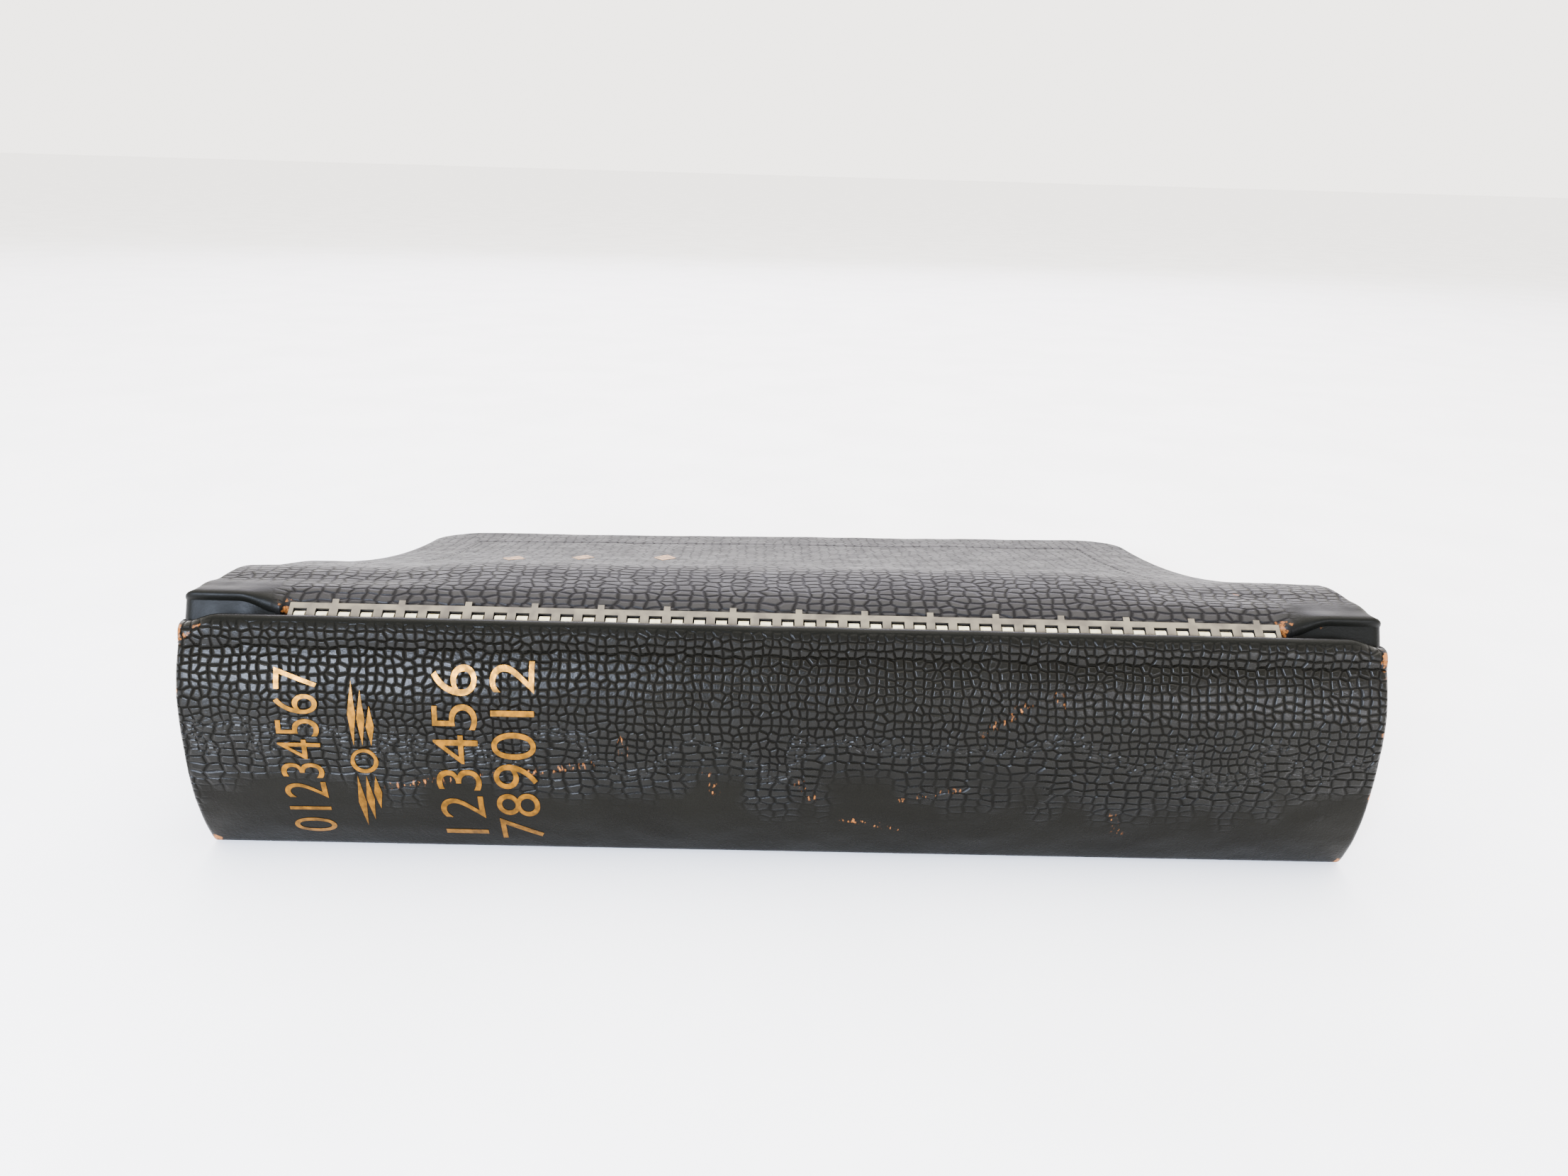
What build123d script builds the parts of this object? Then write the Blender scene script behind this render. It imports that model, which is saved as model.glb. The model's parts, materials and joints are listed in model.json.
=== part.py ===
from build123d import *
import os
from math import asin, atan2, cos, degrees, hypot, radians, sin

# Pilot's logbook: a leather covered loose-leaf ring binder, lying on its back cover.
# X runs along the spine, the spine faces -Y, Z is up. Sizes are in millimetres.
# Everything is drawn with the two hinge pins at y = 0 and moved at the end, so that
# the origin is the middle of the footprint, at table height.

# Overall sizes
spine_length = 241.0
cover_length = 239.6
cover_depth = 178.0             # from the hinge pins to the fore-edge
back_pin_height = 2.3
front_pin_height = 50.6
fore_edge_height = 14.0         # top of the closed front cover at its fore-edge

# Covers: outer leather, board and inner lining
cover_thickness = 3.8
leather_thickness = 1.2
lining_thickness = 0.6
edge_turn_in = 1.4              # leather outside the board's edges
lining_margin = 7.0
fore_corner_radius = 12.0
near_corner_radius = 14.0
shoulder_radius = 28.0          # the soft roll beside the front hinge
shoulder_fall = 24.0            # degrees below level where the roll meets the board
board_start = 28.0
hinge_side_gap = 0.35           # cover leather to the knuckles

# Hinges: a slotted strip on each cover, tabs on the spine, one wire pin through both
hinge_length = 200.0
slot_count = 45
pin_radius = 0.6
pin_play = 0.05
hinge_metal = 0.6
slot_width = 2.7
tab_play = 0.3
slot_reach = 1.4                # how far the slots run up the strip
strip_reach = 2.7               # strip's edge from the pin, along the cover
prong_length = 1.0
prong_width = 1.3
prong_every = 3
front_strip_rise = 38.0         # degrees above level where the strip leaves the pin
tab_leaf_reach = 7.0            # how far the spine's tab strips run behind the back

# Spine: a bowed metal back under leather
back_metal = 1.0
spine_leather_thickness = 1.6
spine_bow = 6.4
back_flat = 5.8                 # straight part of the back beside each hinge
rim_below_front_pin = 1.2
spine_floor_gap = 0.4
rim_play = 0.3

# Ring mechanism
ring_count = 7
ring_spacing = 31.75
ring_radius = 16.0              # to the middle of the wire
ring_wire = 3.0
ring_centre_reach = 18.0        # ring centre in front of the hinge pins
ring_centre_height = 26.0
ring_sweep = 135.0              # degrees of arc in each half ring
ring_foot_bend = 3.0
ring_tip_gap = 0.2
base_plate_thickness = 1.2
base_plate_width = 29.0
base_plate_length = 232.0
housing_width = 28.0
housing_length = 208.0
housing_metal = 1.0
housing_wall = 4.0
housing_crown = 7.0
leaf_thickness = 1.0
leaf_lift = 1.2                 # carrier leaves above the base plate
leaf_length = 201.0
leaf_play = 0.3
leaf_middle_gap = 0.8
ring_slot_play = 0.6
ring_slot_width = 5.5
rivet_radius = 2.0
rivet_head_radius = 3.4
rivet_head = 1.0
rivet_from_end = 3.5
rivet_spread = 16.0
ear_length = 7.5
lever_pin_radius = 0.9
lever_barrel = 2.0
lever_tab_length = 14.5
lever_tab_angle = 62.0
lever_foot_length = 4.4
lever_metal = 1.3

# Sheets on the rings
sheet_length = 216.0
sheet_width = 140.0
hole_margin = 9.5
hole_radius = 4.0
front_stack = 3.0
back_stack = 2.0
divider_thickness = 0.5
divider_tab_length = 34.0
divider_tab_depth = 9.0
lifter_thickness = 0.8
lifter_width = 44.0
stack_gap = 0.3                 # between the front and back stacks
sheet_corner_radius = 4.0
sheet_rest_gap = 0.3

# Worked out from the sizes above
knuckle_inner = pin_radius + pin_play
knuckle_outer = knuckle_inner + hinge_metal
slot_pitch = hinge_length / slot_count
leather_face = knuckle_outer + back_metal + spine_leather_thickness
front_reach = leather_face + spine_bow
footprint_shift = (front_reach - cover_depth) / 2
ring_places = [ring_spacing * (i - (ring_count - 1) / 2) for i in range(ring_count)]
beyond = 60.0                   # cutting blocks reach this far past what they cut


def along_x(face, length):
    # A (y, z) outline made solid, half of the length each side of the middle
    return extrude(Plane.YZ * face, amount=length / 2, both=True)


def closed_outline(*edges):
    return make_face(Curve() + list(edges))


def block(low, high):
    centre = [(a + b) / 2 for a, b in zip(low, high)]
    size = [b - a for a, b in zip(low, high)]
    return Pos(*centre) * Box(*size)


def save(node, solid):
    moved = Pos(0, footprint_shift, 0) * solid
    solids = moved.solids()
    shape = solids[0] if len(solids) == 1 else Compound(children=list(solids))
    shape.label = node
    export_step(shape, f"parts/{node}.step")


# ---------------------------------------------------------------- covers

def cover_plan(inset, near, near_radius):
    # Upright prism of a cover's outline, drawn in by an inset
    outline = Pos(0, (near + cover_depth - inset) / 2) * Rectangle(
        cover_length - 2 * inset, cover_depth - inset - near)
    fore = outline.vertices().group_by(Axis.Y)[-1]
    outline = fillet(fore, fore_corner_radius - inset)
    outline = fillet(outline.vertices().group_by(Axis.Y)[0], near_radius)
    return extrude(Pos(0, 0, -beyond) * outline, amount=3 * beyond)


def shoulder_centre():
    rise = radians(front_strip_rise)
    drop = shoulder_radius - knuckle_inner
    return drop * sin(rise), front_pin_height - drop * cos(rise)


def sag_arc():
    # The hollow stretch from the shoulder to the fore-edge: centre, radius, first and last angle
    fall = radians(shoulder_fall)
    centre_y, centre_z = shoulder_centre()
    start_y = centre_y + shoulder_radius * sin(fall)
    start_z = centre_z + shoulder_radius * cos(fall)
    run = cover_depth - start_y
    drop = start_z - fore_edge_height
    half_turn = fall - atan2(drop, run)
    radius = hypot(run, drop) / (2 * sin(half_turn))
    centre = (start_y + radius * sin(fall), start_z + radius * cos(fall))
    return centre, radius, 270 - shoulder_fall, degrees(2 * half_turn)


def front_layer(outer, inner, past_end=0.0):
    # The front cover's side outline between two depths below its outer face
    start_angle = 90 + front_strip_rise - degrees((knuckle_outer + hinge_side_gap) / shoulder_radius)
    turn = start_angle - (90 - shoulder_fall)
    centre, radius, sag_start, sag_turn = sag_arc()
    sag_turn = sag_turn + past_end
    curves = []
    for depth in (outer, inner):
        roll = CenterArc(shoulder_centre(), shoulder_radius - depth, start_angle, -turn)
        sag = CenterArc(centre, radius + depth, sag_start, sag_turn)
        curves.append((roll, sag))
    (roll_out, sag_out), (roll_in, sag_in) = curves
    near_end = Line(roll_out @ 0, roll_in @ 0)
    fore_end = Line(sag_out @ 1, sag_in @ 1)
    return along_x(closed_outline(roll_out, sag_out, fore_end, sag_in, roll_in, near_end), spine_length)


def make_front_cover():
    board_depth = cover_thickness - lining_thickness
    past_end = 0.3              # the outline runs past the plan, which trims it
    near = knuckle_outer
    whole = front_layer(0, cover_thickness, past_end) & cover_plan(0, near, near_corner_radius)
    board_plan = cover_plan(edge_turn_in, board_start, edge_turn_in)
    board = front_layer(leather_thickness, board_depth, past_end) & board_plan
    lining_plan = cover_plan(lining_margin, lining_margin, near_corner_radius - lining_margin)
    lining = front_layer(board_depth, cover_thickness, past_end) & lining_plan
    save("front_cover_board", board)
    save("front_cover_lining", lining)
    save("front_cover_leather", whole - board - lining)


def make_back_cover():
    near = knuckle_outer + hinge_side_gap
    board_top = cover_thickness - lining_thickness
    whole = cover_plan(0, near, near_corner_radius) & block(
        (-beyond * 3, 0, 0), (beyond * 3, cover_depth, cover_thickness))
    board = cover_plan(edge_turn_in, board_start, edge_turn_in) & block(
        (-beyond * 3, 0, leather_thickness), (beyond * 3, cover_depth, board_top))
    lining = cover_plan(lining_margin, lining_margin, near_corner_radius - lining_margin) & block(
        (-beyond * 3, 0, board_top), (beyond * 3, cover_depth, cover_thickness))
    seat_top = back_pin_height - knuckle_inner
    strip_seat = block((-beyond * 3, 0, -1), (beyond * 3, strip_reach + prong_length + rim_play, seat_top))
    save("back_cover_board", board)
    save("back_cover_lining", lining)
    save("back_cover_leather", whole - board - lining - strip_seat)


# ---------------------------------------------------------------- hinges

def hinge_plane(height, direction, side):
    # Local x runs along the leaf, local y points to its outer face
    return Plane(origin=(0, 0, height), x_dir=(0, *direction), z_dir=(side, 0, 0))


def knuckled_leaf(plane, reach, cut_width, cut_reach, cut_places):
    # A leaf rolled round the pin, with knuckles cut away at every place in the list
    ring = Circle(knuckle_outer) - Circle(knuckle_inner)
    leaf_middle = (knuckle_inner + knuckle_outer) / 2
    leaf = Pos(reach / 2, leaf_middle) * Rectangle(reach, hinge_metal)
    leaf_solid = extrude(plane * (ring + leaf), amount=hinge_length / 2, both=True)
    cut_start = -knuckle_outer - tab_play
    cut_face = Pos((cut_start + cut_reach) / 2, 0) * Rectangle(cut_reach - cut_start, 2 * knuckle_outer + 1)
    cutters = [Pos(x, 0, 0) * extrude(plane * cut_face, amount=cut_width / 2, both=True) for x in cut_places]
    return leaf_solid - cutters


def slot_places():
    return [slot_pitch * (i - (slot_count - 1) / 2) for i in range(slot_count)]


def cover_strip(plane):
    # Slotted strip on a cover, with prongs clinched into the leather at every third slot
    strip = knuckled_leaf(plane, strip_reach, slot_width, slot_reach, slot_places())
    prong_middle = strip_reach + prong_length / 2
    prong = plane * Pos(prong_middle, (knuckle_inner + knuckle_outer) / 2, 0) * Box(
        prong_length, hinge_metal, prong_width)
    places = [x + slot_pitch / 2 for x in slot_places()[1:-1:prong_every]]
    return strip + [Pos(x, 0, 0) * prong for x in places]


def spine_tabs(plane):
    # Tabs of the spine that stand in the slots of a cover's strip
    gaps = [slot_pitch * (i - slot_count / 2) for i in range(slot_count + 1)]
    gap_width = slot_pitch - (slot_width - 2 * tab_play)
    return knuckled_leaf(plane, tab_leaf_reach, gap_width, slot_reach + tab_play, gaps)


def hinge_pin(height):
    return Pos(0, 0, height) * Rot(0, 90, 0) * Cylinder(pin_radius, hinge_length)


def make_hinges():
    rise = radians(front_strip_rise)
    save("front_hinge_strip", cover_strip(hinge_plane(front_pin_height, (cos(rise), sin(rise)), 1)))
    save("back_hinge_strip", cover_strip(hinge_plane(back_pin_height, (1, 0), -1)))
    save("front_hinge_tabs", spine_tabs(hinge_plane(front_pin_height, (0, -1), -1)))
    save("back_hinge_tabs", spine_tabs(hinge_plane(back_pin_height, (0, 1), 1)))
    save("front_hinge_pin", hinge_pin(front_pin_height))
    save("back_hinge_pin", hinge_pin(back_pin_height))


# ---------------------------------------------------------------- spine

def spine_band(inner, outer, low, high):
    # The bowed back's side outline between two distances from the pins
    bow_low = back_pin_height + back_flat
    bow_high = front_pin_height - back_flat
    edges = []
    for reach in (inner, outer):
        bow_middle = (-reach - spine_bow, (bow_low + bow_high) / 2)
        edges.append(Line((-reach, low), (-reach, bow_low)))
        edges.append(ThreePointArc((-reach, bow_low), bow_middle, (-reach, bow_high)))
        edges.append(Line((-reach, bow_high), (-reach, high)))
    edges.append(Line((-inner, low), (-outer, low)))
    edges.append(Line((-inner, high), (-outer, high)))
    return along_x(closed_outline(*edges), spine_length)


def rivet_places():
    x = base_plate_length / 2 - rivet_from_end
    return [(sx * x, ring_centre_height + sz * rivet_spread / 2) for sx in (-1, 1) for sz in (-1, 1)]


def make_rivets():
    # Shouldered rivets that carry the ring mechanism on the metal back
    metal_inner = knuckle_outer
    metal_outer = metal_inner + back_metal
    floor_level = -base_plate_thickness
    outside = spine_band(metal_outer, beyond, spine_floor_gap, front_pin_height)
    under_back = spine_band(metal_inner, beyond, spine_floor_gap, front_pin_height)
    along_y = Rot(90, 0, 0)
    depth = beyond / 3
    rivets = []
    for x, z in rivet_places():
        shank = Pos(x, -depth / 2, z) * along_y * Cylinder(rivet_radius, depth)
        head = Pos(x, rivet_head / 2, z) * along_y * Cylinder(rivet_head_radius, rivet_head)
        collar = Pos(x, floor_level - depth / 2, z) * along_y * Cylinder(rivet_head_radius, depth)
        rivets.append((shank + head - outside) + (collar - under_back))
    return rivets


def make_spine(rivets):
    metal_inner = knuckle_outer
    metal_outer = metal_inner + back_metal
    leather_outer = metal_outer + spine_leather_thickness
    metal_low = back_pin_height + knuckle_outer + rim_play
    rim_top = front_pin_height - rim_below_front_pin
    metal_high = rim_top - back_metal
    metal = spine_band(metal_inner, metal_outer, metal_low, metal_high)
    ends = Box(spine_length - 2 * leather_thickness, 3 * beyond, 3 * beyond)
    leather = spine_band(metal_outer, leather_outer, spine_floor_gap, rim_top)
    rim = block((-spine_length / 2, -metal_outer, metal_high),
                (spine_length / 2, -knuckle_outer - rim_play, rim_top))
    save("metal_back", (metal & ends) - rivets)
    save("spine_leather", leather + rim)


# ---------------------------------------------------------------- ring mechanism

def housing_face(half_width, wall, crown):
    z = ring_centre_height
    return closed_outline(
        Line((0, z - half_width), (wall, z - half_width)),
        ThreePointArc((wall, z - half_width), (crown, z), (wall, z + half_width)),
        Line((wall, z + half_width), (0, z + half_width)),
        Line((0, z + half_width), (0, z - half_width)))


def make_housing():
    half = housing_width / 2
    outer = housing_face(half, housing_wall, housing_crown)
    inner = housing_face(half - housing_metal, housing_wall - housing_metal / 2, housing_crown - housing_metal)
    total_length = housing_length + 2 * ear_length
    shell = along_x(outer - inner, total_length)
    cuts = []
    inside = half - housing_metal
    for side in (-1, 1):
        low, high = sorted((side * housing_length / 2, side * (total_length / 2 + 1)))
        cuts.append(block((low, -1, ring_centre_height - inside),
                          (high, housing_crown + 1, ring_centre_height + inside)))
        for x in ring_places:
            edge = ring_centre_height + side * inside
            z_low, z_high = sorted((edge, edge - side * ring_slot_width))
            reach = ring_wire / 2 + ring_slot_play
            cuts.append(block((x - reach, leaf_lift + leaf_thickness, z_low), (x + reach, beyond, z_high)))
    return shell - cuts - lever_pins()


def lever_place():
    return housing_length / 2 + ear_length / 2


def lever_height():
    return lever_barrel + base_plate_thickness / 2


def lever_pins():
    pin = Cylinder(lever_pin_radius, housing_width)
    return [Pos(side * lever_place(), lever_height(), ring_centre_height) * pin for side in (-1, 1)]


def make_lever(side):
    # End lever: a barrel on its pin, a thumb tab outside and a foot under the leaves
    width = housing_width - 2 * housing_metal - 2 * leaf_play
    barrel = Cylinder(lever_barrel, width)
    tab = Rot(0, 0, lever_tab_angle) * Pos(lever_tab_length / 2, 0, 0) * Box(lever_tab_length, lever_metal, width / 2)
    grip = Rot(0, 0, lever_tab_angle) * Pos(lever_tab_length, 0, 0) * Cylinder(lever_metal, width / 2)
    foot = Pos(-lever_foot_length / 2, 0, 0) * Box(lever_foot_length, lever_metal, width / 2)
    lever = barrel + tab + grip + foot - Cylinder(lever_pin_radius + pin_play, 2 * width)
    if side < 0:
        lever = mirror(lever, about=Plane.YZ)
    return Pos(side * lever_place(), lever_height(), ring_centre_height) * lever


def half_ring():
    # Lower half ring, from its tip round to its foot on the lower leaf
    centre = (ring_centre_reach, ring_centre_height)
    tip_angle = -degrees(ring_tip_gap / 2 / ring_radius)
    bow = CenterArc(centre, ring_radius, tip_angle, -ring_sweep - tip_angle)
    bend = JernArc(bow @ 1, bow % 1, ring_foot_bend, 180 - ring_sweep)
    foot = Line(bend @ 1, (leaf_lift + leaf_thickness, (bend @ 1).Y))
    path = Plane.YZ * Wire([bow, bend, foot])
    section = Plane(origin=path @ 0, z_dir=path % 0) * Circle(ring_wire / 2)
    return sweep(section, path=path)


def lower_leaf():
    inside = housing_width / 2 - housing_metal - leaf_play
    low = ring_centre_height - inside
    high = ring_centre_height - leaf_middle_gap / 2
    return block((-leaf_length / 2, leaf_lift, low), (leaf_length / 2, leaf_lift + leaf_thickness, high))


def make_mechanism(rivets):
    middle = Plane.XY.offset(ring_centre_height)
    plate_low = ring_centre_height - base_plate_width / 2
    plate = block((-base_plate_length / 2, -base_plate_thickness, plate_low),
                  (base_plate_length / 2, 0, plate_low + base_plate_width))
    rings = [Pos(x, 0, 0) * half_ring() for x in ring_places]
    save("ring_base_plate", plate - rivets)
    save("ring_housing", make_housing())
    save("mounting_rivets", Compound(children=rivets))
    save("lever_pins", Compound(children=lever_pins()))
    save("lower_ring_leaf", lower_leaf())
    save("upper_ring_leaf", mirror(lower_leaf(), about=middle))
    save("lower_half_rings", Compound(children=rings))
    save("upper_half_rings", Compound(children=[mirror(ring, about=middle) for ring in rings]))
    save("left_lever", make_lever(-1))
    save("right_lever", make_lever(1))


# ---------------------------------------------------------------- sheets

def sheet_slope():
    # Degrees of fall from the rings to the fore-edge, where the back stack meets the back cover
    reach = ring_radius - hole_margin + sheet_width
    depth = stack_gap / 2 + divider_thickness + back_stack
    fall = ring_centre_height - cover_thickness - sheet_rest_gap
    return degrees(asin(fall / hypot(reach, depth)) - atan2(depth, reach))


def on_rings(solid):
    # Turns a flat stack about the ring centre to its slope
    return Pos(0, ring_centre_reach, ring_centre_height) * Rot(-sheet_slope(), 0, 0) * solid


def punched(width, low, high, tab=None):
    # A rectangular leaf with ring holes; distances run from the ring centre
    near = ring_radius - hole_margin
    leaf = Pos(0, near + width / 2) * Rectangle(sheet_length, width)
    leaf = fillet(leaf.vertices().group_by(Axis.Y)[-1], sheet_corner_radius)
    if tab:
        leaf = leaf + tab
    leaf = leaf - [Pos(x, ring_radius) * Circle(hole_radius) for x in ring_places]
    return on_rings(extrude(Pos(0, 0, low) * leaf, amount=high - low))


def make_sheets():
    half_gap = stack_gap / 2
    near = ring_radius - hole_margin
    tab_place = sheet_length / 4
    tab = Pos(tab_place, near + sheet_width) * Rectangle(divider_tab_length, 2 * divider_tab_depth)
    divider_low = -half_gap - divider_thickness
    back_low = divider_low - back_stack
    save("front_sheets", punched(sheet_width, half_gap, half_gap + front_stack))
    save("front_sheet_lifter", punched(lifter_width, half_gap + front_stack,
                                       half_gap + front_stack + lifter_thickness))
    save("index_divider", punched(sheet_width, divider_low, -half_gap, tab))
    save("back_sheets", punched(sheet_width, back_low, divider_low))
    save("back_sheet_lifter", punched(lifter_width, back_low - lifter_thickness, back_low))


os.makedirs("parts", exist_ok=True)
make_front_cover()
make_back_cover()
make_hinges()
mounting_rivets = make_rivets()
make_spine(mounting_rivets)
make_mechanism(mounting_rivets)
make_sheets()
print("moved along Y by", round(footprint_shift, 3), "sheets slope", round(sheet_slope(), 3))
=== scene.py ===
import json
import math
import bpy
from mathutils import Matrix, Vector, noise


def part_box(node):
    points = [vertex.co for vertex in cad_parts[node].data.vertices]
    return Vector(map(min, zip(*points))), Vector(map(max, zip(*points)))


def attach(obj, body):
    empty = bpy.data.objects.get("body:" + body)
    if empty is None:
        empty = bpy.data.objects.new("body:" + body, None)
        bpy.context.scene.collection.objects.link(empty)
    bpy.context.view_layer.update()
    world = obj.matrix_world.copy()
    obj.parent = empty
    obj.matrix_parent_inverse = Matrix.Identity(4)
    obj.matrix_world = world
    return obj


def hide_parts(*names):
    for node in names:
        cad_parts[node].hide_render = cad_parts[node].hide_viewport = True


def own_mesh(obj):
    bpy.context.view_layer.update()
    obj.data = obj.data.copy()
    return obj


# Leather ring binder closed on a pale table: the CAD's hinges and mechanism, with its leather made here
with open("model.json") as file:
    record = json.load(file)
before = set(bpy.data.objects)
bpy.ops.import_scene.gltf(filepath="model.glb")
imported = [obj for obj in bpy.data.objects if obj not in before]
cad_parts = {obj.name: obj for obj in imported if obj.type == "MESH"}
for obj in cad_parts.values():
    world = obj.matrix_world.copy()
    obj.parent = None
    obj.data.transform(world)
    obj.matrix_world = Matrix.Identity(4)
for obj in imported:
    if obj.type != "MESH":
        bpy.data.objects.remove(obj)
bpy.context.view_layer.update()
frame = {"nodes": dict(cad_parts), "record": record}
mm = 0.001
nodes = frame["nodes"]


def boxMm(name):
    low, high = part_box(name)
    return [v / mm for v in low], [v / mm for v in high]


def middle(name, axis):
    low, high = boxMm(name)
    return (low[axis] + high[axis]) / 2


pinY = middle("front_hinge_pin", 1)     # both hinge pins stand over each other
topPinZ = middle("front_hinge_pin", 2)
print("frame loaded, hinge pins at y", round(pinY, 2), "z", round(topPinZ, 2))


def clamp(t):
    return min(max(t, 0.0), 1.0)


def smooth(a, b, value):
    t = clamp((value - a) / (b - a))
    return t * t * (3 - 2 * t)


def steps(a, b, count):
    return [a + (b - a) * i / count for i in range(count + 1)]


def roundedSteps(radius, count):
    # Distances from an edge that draw a quarter round evenly
    return [radius * (1 - math.sin(math.pi / 2 * i / count)) for i in range(count, -1, -1)]


def edgeDrop(distance, radius):
    if distance >= radius:
        return 0.0
    return radius - math.sqrt(max(radius ** 2 - (radius - distance) ** 2, 0.0))


def ripple(x, y, size, seed=0.0):
    return noise.noise(Vector((x / size, y / size, seed)))


def deselectAll():
    if bpy.context.object and bpy.context.object.mode != "OBJECT":
        bpy.ops.object.mode_set(mode="OBJECT")
    bpy.ops.object.select_all(action="DESELECT")


def pickOnly(obj):
    deselectAll()
    obj.select_set(True)
    bpy.context.view_layer.objects.active = obj


def makeSlab(name, across, along, outer, inner):
    # A grid pulled to its outer face, then extruded and pulled to its inner face, so the wall is closed
    deselectAll()
    bpy.ops.mesh.primitive_grid_add(x_subdivisions=len(across) - 1, y_subdivisions=len(along) - 1, size=1)
    obj = bpy.context.object
    obj.name = name
    bpy.ops.object.mode_set(mode="EDIT")
    bpy.ops.mesh.select_all(action="SELECT")
    bpy.ops.mesh.extrude_region_move(TRANSFORM_OT_translate={"value": (0, 0, -1)})
    bpy.ops.object.mode_set(mode="OBJECT")
    for vert in obj.data.vertices:
        i = round((vert.co.x + 0.5) * (len(across) - 1))
        j = round((vert.co.y + 0.5) * (len(along) - 1))
        place = (inner if vert.co.z < -0.5 else outer)(across[i], along[j])
        vert.co = Vector(place) * mm
    finishMesh(obj)
    return obj


def finishMesh(obj, angle=50):
    pickOnly(obj)
    bpy.ops.object.mode_set(mode="EDIT")
    bpy.ops.mesh.select_all(action="SELECT")
    bpy.ops.mesh.normals_make_consistent(inside=False)
    bpy.ops.object.mode_set(mode="OBJECT")
    bpy.ops.object.shade_smooth_by_angle(angle=math.radians(angle))
    deselectAll()


def paint(obj, name, strength):
    # A number on each vertex, which the materials read
    layer = obj.data.attributes.new(name, "FLOAT", "POINT")
    for vert, cell in zip(obj.data.vertices, layer.data):
        cell.value = clamp(strength(vert.co / mm))


def nearPlaces(places):
    def strength(point):
        best = 0.0
        for x, y, z, reach in places:
            away = (point - Vector((x, pinY + y, z))).length
            best = max(best, 1 - away / reach)
        return best
    return strength


def colour(hexCode):
    # sRGB hex to linear RGBA
    out = []
    for i in (0, 2, 4):
        v = int(hexCode[i:i + 2], 16) / 255
        out.append(v / 12.92 if v <= 0.04045 else ((v + 0.055) / 1.055) ** 2.4)
    return (*out, 1.0)


def newMaterial(name):
    mat = bpy.data.materials.new(name)
    mat.use_nodes = True
    return mat, mat.node_tree, mat.node_tree.nodes["Principled BSDF"]


def addNode(tree, kind, inputs=None, **settings):
    # One node with its settings; an input is a value or another node's socket
    node = tree.nodes.new(kind)
    for key, value in settings.items():
        setattr(node, key, value)
    for key, value in (inputs or {}).items():
        if isinstance(value, bpy.types.NodeSocket):
            tree.links.new(value, node.inputs[key])
        else:
            node.inputs[key].default_value = value
    return node


def millimetres(tree, stretch=(1, 1, 1), turn=(0, 0, 0)):
    coords = addNode(tree, "ShaderNodeTexCoord")
    scale = tuple(s / mm for s in stretch)
    return addNode(tree, "ShaderNodeMapping", {
        "Vector": coords.outputs["Object"], "Scale": scale,
        "Rotation": tuple(math.radians(a) for a in turn)}).outputs[0]


def joinMath(tree, operation, a, b=0.0):
    return addNode(tree, "ShaderNodeMath", {0: a, 1: b}, operation=operation).outputs[0]


def rangeOf(tree, value, a, b, low=0.0, high=1.0):
    return addNode(tree, "ShaderNodeMapRange", {
        "Value": value, "From Min": a, "From Max": b, "To Min": low, "To Max": high},
        interpolation_type="SMOOTHSTEP").outputs[0]


def mixColour(tree, factor, a, b):
    return addNode(tree, "ShaderNodeMix", {0: factor, 6: a, 7: b}, data_type="RGBA").outputs[2]


def grain(tree, size, stretch=(1, 1, 1), detail=3.0, turn=(0, 0, 0)):
    # Soft noise whose features are about this many millimetres across
    return addNode(tree, "ShaderNodeTexNoise", {
        "Vector": millimetres(tree, stretch, turn), "Scale": 1 / size, "Detail": detail}).outputs[0]


def cells(tree, width, height, uneven, drag, upward):
    # Domed cells with creases between them, of a width and height in millimetres along x and one more axis
    vector = addNode(tree, "ShaderNodeCombineXYZ", {
        0: joinMath(tree, "DIVIDE", placeValue(tree, 0), width),
        1: joinMath(tree, "DIVIDE", placeValue(tree, upward), height)}).outputs[0]
    drift = addNode(tree, "ShaderNodeTexNoise", {"Vector": millimetres(tree), "Scale": 0.16, "Detail": 1.0})
    moved = addNode(tree, "ShaderNodeVectorMath", {0: drift.outputs["Color"], 1: (drag, drag, drag)},
                    operation="MULTIPLY")
    vector = addNode(tree, "ShaderNodeVectorMath", {0: vector, 1: moved.outputs[0]}, operation="ADD").outputs[0]
    edge = addNode(tree, "ShaderNodeTexVoronoi", {"Vector": vector, "Scale": 1.0, "Randomness": uneven},
                   feature="DISTANCE_TO_EDGE", voronoi_dimensions="2D").outputs["Distance"]
    return rangeOf(tree, edge, -0.1, 0.27)


def placeValue(tree, axis):
    parts = addNode(tree, "ShaderNodeSeparateXYZ", {0: millimetres(tree)})
    return parts.outputs[axis]


def attribute(tree, name):
    return addNode(tree, "ShaderNodeAttribute", attribute_name=name).outputs["Fac"]


leatherLook = {
    "dark": "080705", "light": "0e0d09", "upward": 2, "handled": "080806",
    # the near black of the creases, and further down how strongly it is laid in, are painted shade
    "worn": "8a5526", "wornDark": "4a2813", "creaseShadeColour": "020202",
    # width, height and unevenness of the two kinds of cell, and how far slow noise drags them about
    "pebble": (1.9, 1.65, 0.5), "wavelet": (3.0, 1.7, 0.45), "drag": 0.9, "depth": 0.42,
    "patch": 14, "patchDrift": 5, "pores": (0.45, 0.12), "soft": (3.2, 0.2),
    "paintedCreaseShade": 0.6, "creaseShine": 0.3, "plainShine": 0.45,
}


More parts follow.
